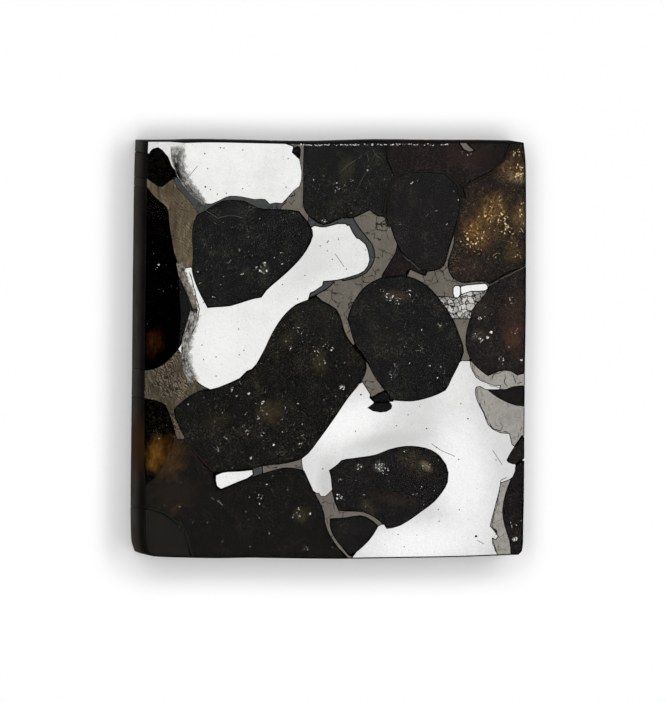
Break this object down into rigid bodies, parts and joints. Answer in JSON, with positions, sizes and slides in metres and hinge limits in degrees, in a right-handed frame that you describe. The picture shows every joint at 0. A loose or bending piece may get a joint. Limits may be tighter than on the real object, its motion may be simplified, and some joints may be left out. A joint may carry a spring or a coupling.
{
  "type": "pallasite meteorite slice",
  "caption": "Squared, polished slice of a stony-iron meteorite: dark olivine crystals set in bright nickel-iron and taupe iron sulphide",
  "frame": {"origin": "middle of the sawn back, on the surface the slice lies on", "axes": "+Z out of the polished face, +Y up the slice's longer side as pictured, +X to the right across the shorter side"},
  "size_m": [0.0304, 0.0321, 0.004],
  "materials": {
    "olivine_upper_oval_finish": "polished, dark green-black olivine",
    "olivine_middle_round_finish": "polished, dark green-black olivine",
    "olivine_lower_oval_finish": "polished, dark green-black olivine",
    "olivine_big_diagonal_finish": "polished, dark green-black olivine",
    "olivine_upper_round_finish": "polished, dark green-black olivine",
    "olivine_top_middle_finish": "polished, dark green-black olivine",
    "troilite_top_sliver_finish": "polished iron sulphide with a dull metallic shine",
    "olivine_top_red_finish": "polished, brown to amber olivine",
    "olivine_amber_corner_finish": "polished, brown to amber olivine",
    "olivine_right_edge_finish": "polished, brown to amber olivine",
    "olivine_small_red_finish": "polished, brown to amber olivine",
    "olivine_left_edge_finish": "polished, dark green-black olivine",
    "olivine_top_left_finish": "polished, dark green-black olivine",
    "olivine_right_strip_finish": "polished, dark green-black olivine",
    "olivine_right_wedge_finish": "polished, dark green-black olivine",
    "olivine_right_lens_finish": "polished, dark green-black olivine",
    "olivine_bottom_wedge_finish": "polished, dark green-black olivine",
    "olivine_bottom_left_finish": "polished, dark green-black olivine",
    "olivine_lower_left_finish": "polished, dark green-black olivine",
    "olivine_top_chip_finish": "polished, dark green-black olivine",
    "olivine_drop_finish": "polished, dark green-black olivine",
    "chromite_lens_finish": "polished black oxide",
    "metal_top_finish": "mirror-polished nickel-iron",
    "metal_middle_band_finish": "mirror-polished nickel-iron",
    "metal_left_bar_finish": "mirror-polished nickel-iron",
    "metal_right_bead_finish": "mirror-polished nickel-iron",
    "metal_right_bar_finish": "mirror-polished nickel-iron",
    "metal_lower_right_finish": "mirror-polished nickel-iron",
    "rim_under_top_metal_finish": "polished dark grey rim mineral",
    "rim_round_middle_metal_finish": "polished dark grey rim mineral",
    "rim_wedge_finish": "polished dark grey rim mineral",
    "rim_bar_tip_finish": "polished dark grey rim mineral",
    "mixed_patch_finish": "polished granular metal and sulphide",
    "troilite_left_finish": "polished iron sulphide with a dull metallic shine",
    "troilite_top_wedge_finish": "polished iron sulphide with a dull metallic shine",
    "troilite_centre_finish": "polished iron sulphide with a dull metallic shine",
    "troilite_right_finish": "polished iron sulphide with a dull metallic shine",
    "troilite_tail_finish": "polished iron sulphide with a dull metallic shine",
    "troilite_small_triangle_finish": "polished iron sulphide with a dull metallic shine",
    "troilite_lower_left_finish": "polished iron sulphide with a dull metallic shine",
    "troilite_thin_vein_finish": "polished iron sulphide with a dull metallic shine",
    "troilite_fork_finish": "polished iron sulphide with a dull metallic shine",
    "troilite_right_plate_finish": "polished iron sulphide with a dull metallic shine",
    "troilite_right_shard_finish": "polished iron sulphide with a dull metallic shine",
    "troilite_right_strip_finish": "polished iron sulphide with a dull metallic shine"
  },
  "bodies": {
    "root": {"olivine_upper_oval": "olivine_upper_oval_finish", "olivine_middle_round": "olivine_middle_round_finish", "olivine_lower_oval": "olivine_lower_oval_finish", "olivine_big_diagonal": "olivine_big_diagonal_finish", "olivine_upper_round": "olivine_upper_round_finish", "olivine_top_middle": "olivine_top_middle_finish", "troilite_top_sliver": "troilite_top_sliver_finish", "olivine_top_red": "olivine_top_red_finish", "olivine_amber_corner": "olivine_amber_corner_finish", "olivine_right_edge": "olivine_right_edge_finish", "olivine_small_red": "olivine_small_red_finish", "olivine_left_edge": "olivine_left_edge_finish", "olivine_top_left": "olivine_top_left_finish", "olivine_right_strip": "olivine_right_strip_finish", "olivine_right_wedge": "olivine_right_wedge_finish", "olivine_right_lens": "olivine_right_lens_finish", "olivine_bottom_wedge": "olivine_bottom_wedge_finish", "olivine_bottom_left": "olivine_bottom_left_finish", "olivine_lower_left": "olivine_lower_left_finish", "olivine_top_chip": "olivine_top_chip_finish", "olivine_drop": "olivine_drop_finish", "chromite_lens": "chromite_lens_finish", "metal_top": "metal_top_finish", "metal_middle_band": "metal_middle_band_finish", "metal_left_bar": "metal_left_bar_finish", "metal_right_bead": "metal_right_bead_finish", "metal_right_bar": "metal_right_bar_finish", "metal_lower_right": "metal_lower_right_finish", "rim_under_top_metal": "rim_under_top_metal_finish", "rim_round_middle_metal": "rim_round_middle_metal_finish", "rim_wedge": "rim_wedge_finish", "rim_bar_tip": "rim_bar_tip_finish", "mixed_patch": "mixed_patch_finish", "troilite_left": "troilite_left_finish", "troilite_top_wedge": "troilite_top_wedge_finish", "troilite_centre": "troilite_centre_finish", "troilite_right": "troilite_right_finish", "troilite_tail": "troilite_tail_finish", "troilite_small_triangle": "troilite_small_triangle_finish", "troilite_lower_left": "troilite_lower_left_finish", "troilite_thin_vein": "troilite_thin_vein_finish", "troilite_fork": "troilite_fork_finish", "troilite_right_plate": "troilite_right_plate_finish", "troilite_right_shard": "troilite_right_shard_finish", "troilite_right_strip": "troilite_right_strip_finish"}
  },
  "joints": []
}
